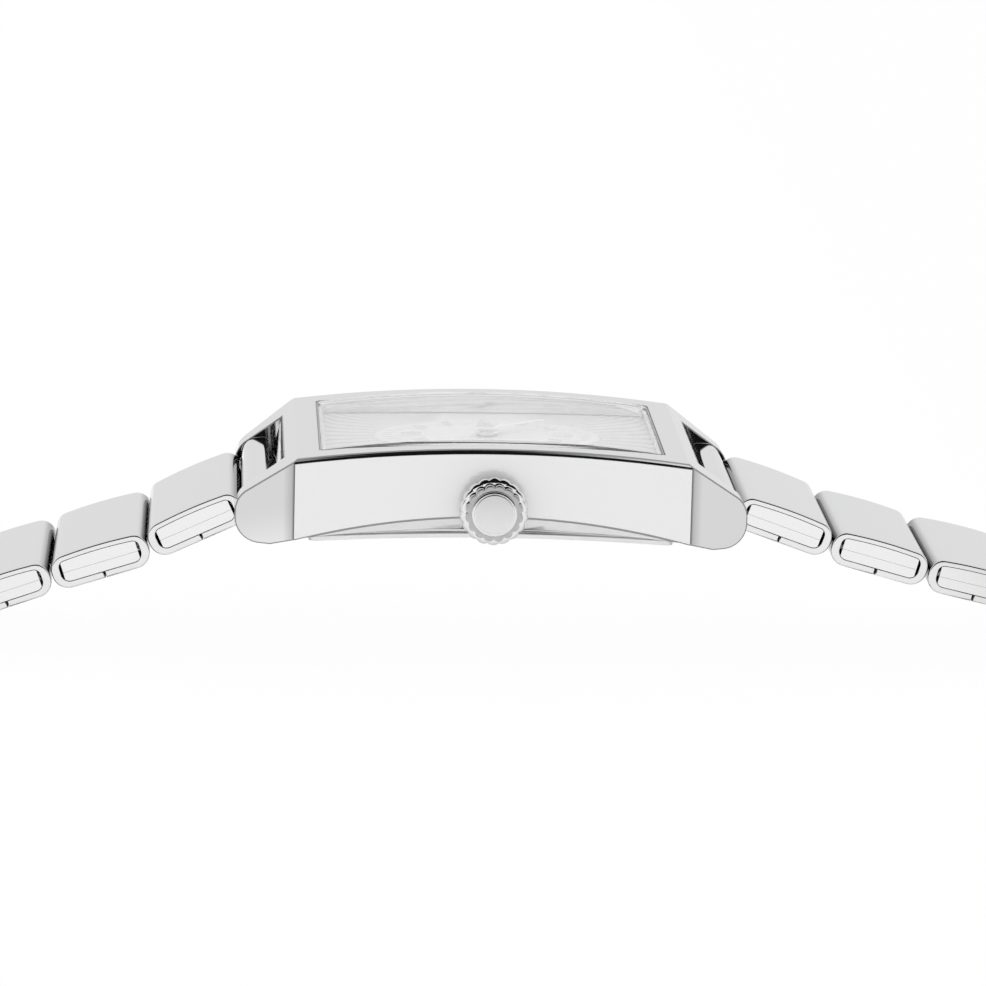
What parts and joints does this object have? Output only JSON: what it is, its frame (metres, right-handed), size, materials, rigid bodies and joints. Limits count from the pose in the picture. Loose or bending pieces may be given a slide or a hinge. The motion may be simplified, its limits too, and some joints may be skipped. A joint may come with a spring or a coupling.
{
  "type": "rectangular bracelet wristwatch",
  "caption": "Rectangular steel dress watch with a curved crystal, a scalloped crown, hands in mesh and a bracelet of folded links that curls shut.",
  "frame": {"origin": "middle of the flat panel on the case back, at the panel's outer face", "axes": "+X towards 3 o'clock and the crown, +Y towards 12 o'clock along the bracelet, +Z out of the dial"},
  "size_m": [0.0309, 0.183, 0.0206],
  "materials": {
    "steel_polished": "polished stainless steel",
    "steel_satin": "fine satin stainless steel",
    "crystal_glass": "clear mineral glass",
    "seal_grey": "pale grey seal",
    "seal_black": "black seal",
    "dial_silver": "silvered white, ribbed lengthwise",
    "applied_steel": "polished applied bars",
    "hand_steel": "polished hands",
    "gilt": "gilt brass",
    "plate_nickel": "nickelled brass",
    "ring_plastic": "white moulded plastic",
    "coil_copper": "enamelled copper wire",
    "board_green": "green circuit board",
    "cell_steel": "nickelled steel can"
  },
  "bodies": {
    "case": {"case_body": "steel_polished", "crystal": "crystal_glass", "crystal_gasket": "seal_grey", "dial": "dial_silver", "hour_markers": "applied_steel", "movement_ring": "ring_plastic", "main_plate": "plate_nickel", "train_bridge": "plate_nickel", "coil": "coil_copper", "circuit_board": "board_green", "battery": "cell_steel", "battery_clamp": "steel_satin", "crown_tube": "steel_satin", "case_back": "steel_satin", "case_back_gasket": "seal_black", "spring_bar_12": "steel_satin", "spring_bar_6": "steel_satin"},
    "minute_hand_body": {"minute_hand": "hand_steel", "cannon_pinion": "hand_steel"},
    "minute_wheel_body": {"minute_wheel": "gilt"},
    "hour_hand_body": {"hour_hand": "hand_steel", "hour_wheel": "hand_steel"},
    "setting_pinion_body": {"setting_pinion": "gilt"},
    "crown_body": {"crown": "steel_polished", "crown_gasket": "seal_black", "stem": "steel_satin"},
    "setting_lever_body": {"setting_lever": "steel_satin"},
    "end_12": {"end_link_12": "steel_satin"},
    "end_6": {"end_link_6": "steel_satin"},
    "link_12_1": {"link_12_1_shell": "steel_polished", "link_12_1_core": "steel_satin"},
    "link_12_2": {"link_12_2_shell": "steel_polished", "link_12_2_core": "steel_satin"},
    "link_12_3": {"link_12_3_shell": "steel_polished", "link_12_3_core": "steel_satin"},
    "link_12_4": {"link_12_4_shell": "steel_polished", "link_12_4_core": "steel_satin"},
    "link_12_5": {"link_12_5_shell": "steel_polished", "link_12_5_core": "steel_satin"},
    "link_12_6": {"link_12_6_shell": "steel_polished", "link_12_6_core": "steel_satin"},
    "link_6_1": {"link_6_1_shell": "steel_polished", "link_6_1_core": "steel_satin"},
    "link_6_2": {"link_6_2_shell": "steel_polished", "link_6_2_core": "steel_satin"},
    "link_6_3": {"link_6_3_shell": "steel_polished", "link_6_3_core": "steel_satin"},
    "link_6_4": {"link_6_4_shell": "steel_polished", "link_6_4_core": "steel_satin"},
    "link_6_5": {"link_6_5_shell": "steel_polished", "link_6_5_core": "steel_satin"},
    "link_6_6": {"link_6_6_shell": "steel_polished", "link_6_6_core": "steel_satin"},
    "clasp_base_body": {"clasp_base": "steel_satin", "clasp_pins": "steel_satin"},
    "clasp_cover_body": {"clasp_cover": "steel_polished"},
    "catch_body": {"catch_frame": "steel_satin"}
  },
  "joints": [
    {"name": "minute_hand_turn", "type": "hinge", "parent": "case", "child": "minute_hand_body", "pos_m": [0, 0, 0.005], "axis": [0, 0, -1], "continuous": true},
    {"name": "minute_wheel_turn", "type": "hinge", "parent": "case", "child": "minute_wheel_body", "pos_m": [-0.00212, 0.00212, 0.005], "axis": [0, 0, -1], "continuous": true},
    {"name": "hour_hand_turn", "type": "hinge", "parent": "case", "child": "hour_hand_body", "pos_m": [0, 0, 0.005], "axis": [0, 0, -1], "continuous": true},
    {"name": "crown_turn", "type": "hinge", "parent": "case", "child": "setting_pinion_body", "pos_m": [0.003, 0, 0.0038], "axis": [1, 0, 0], "continuous": true},
    {"name": "crown_pull", "type": "slide", "parent": "setting_pinion_body", "child": "crown_body", "axis": [1, 0, 0], "range_m": [0, 0.0009]},
    {"name": "setting_lever_turn", "type": "hinge", "parent": "case", "child": "setting_lever_body", "pos_m": [0.0052, -0.003, 0.004], "axis": [0, 0, -1], "range_deg": [0, 18]},
    {"name": "end_link_12_turn", "type": "hinge", "parent": "case", "child": "end_12", "pos_m": [0, 0.01975, 0.0027], "axis": [-1, 0, 0], "range_deg": [0, 8]},
    {"name": "link_12_1_turn", "type": "hinge", "parent": "end_12", "child": "link_12_1", "pos_m": [0, 0.0232, 0.00225], "axis": [-1, 0, 0], "range_deg": [0, 12]},
    {"name": "link_12_2_turn", "type": "hinge", "parent": "link_12_1", "child": "link_12_2", "pos_m": [0, 0.03172, -0.00075], "axis": [-1, 0, 0], "range_deg": [0, 27.1]},
    {"name": "link_12_3_turn", "type": "hinge", "parent": "link_12_2", "child": "link_12_3", "pos_m": [0, 0.04043, -0.00313], "axis": [-1, 0, 0], "range_deg": [0, 25.3]},
    {"name": "link_12_4_turn", "type": "hinge", "parent": "link_12_3", "child": "link_12_4", "pos_m": [0, 0.04923, -0.00516], "axis": [-1, 0, 0], "range_deg": [0, 23.4]},
    {"name": "link_12_5_turn", "type": "hinge", "parent": "link_12_4", "child": "link_12_5", "pos_m": [0, 0.05804, -0.00713], "axis": [-1, 0, 0], "range_deg": [0, 24.2]},
    {"name": "link_12_6_turn", "type": "hinge", "parent": "link_12_5", "child": "link_12_6", "pos_m": [0, 0.06689, -0.00892], "axis": [-1, 0, 0], "range_deg": [0, 27.8]},
    {"name": "end_link_6_turn", "type": "hinge", "parent": "case", "child": "end_6", "pos_m": [0, -0.01975, 0.0027], "axis": [1, 0, 0], "range_deg": [0, 3.5]},
    {"name": "link_6_1_turn", "type": "hinge", "parent": "end_6", "child": "link_6_1", "pos_m": [0, -0.02315, 0.00198], "axis": [1, 0, 0], "range_deg": [0, 12]},
    {"name": "link_6_2_turn", "type": "hinge", "parent": "link_6_1", "child": "link_6_2", "pos_m": [0, -0.03134, -0.00182], "axis": [1, 0, 0], "range_deg": [0, 30.3]},
    {"name": "link_6_3_turn", "type": "hinge", "parent": "link_6_2", "child": "link_6_3", "pos_m": [0, -0.03995, -0.00455], "axis": [1, 0, 0], "range_deg": [0, 21.2]},
    {"name": "link_6_4_turn", "type": "hinge", "parent": "link_6_3", "child": "link_6_4", "pos_m": [0, -0.04847, -0.00755], "axis": [1, 0, 0], "range_deg": [0, 31.6]},
    {"name": "link_6_5_turn", "type": "hinge", "parent": "link_6_4", "child": "link_6_5", "pos_m": [0, -0.05734, -0.00924], "axis": [1, 0, 0], "range_deg": [0, 29.9]},
    {"name": "link_6_6_turn", "type": "hinge", "parent": "link_6_5", "child": "link_6_6", "pos_m": [0, -0.06635, -0.00986], "axis": [1, 0, 0], "range_deg": [0, 26.3]},
    {"name": "clasp_base_turn", "type": "hinge", "parent": "link_12_6", "child": "clasp_base_body", "pos_m": [0, 0.07586, -0.00995], "axis": [-1, 0, 0], "range_deg": [0, 29.5]},
    {"name": "clasp_cover_turn", "type": "hinge", "parent": "clasp_base_body", "child": "clasp_cover_body", "pos_m": [0, 0.07746, -0.0086], "axis": [1, 0, 0], "range_deg": [0, 100]},
    {"name": "catch_turn", "type": "hinge", "parent": "link_6_6", "child": "catch_body", "pos_m": [0, -0.07538, -0.00995], "axis": [1, 0, 0], "range_deg": [0, 23.5]}
  ],
  "couplings": [
    {"joint": "minute_wheel_turn", "follows": "minute_hand_turn", "ratio": -0.33333},
    {"joint": "hour_hand_turn", "follows": "minute_hand_turn", "ratio": 0.083333},
    {"joint": "setting_lever_turn", "follows": "crown_pull", "rad_per_m": 333.33}
  ]
}
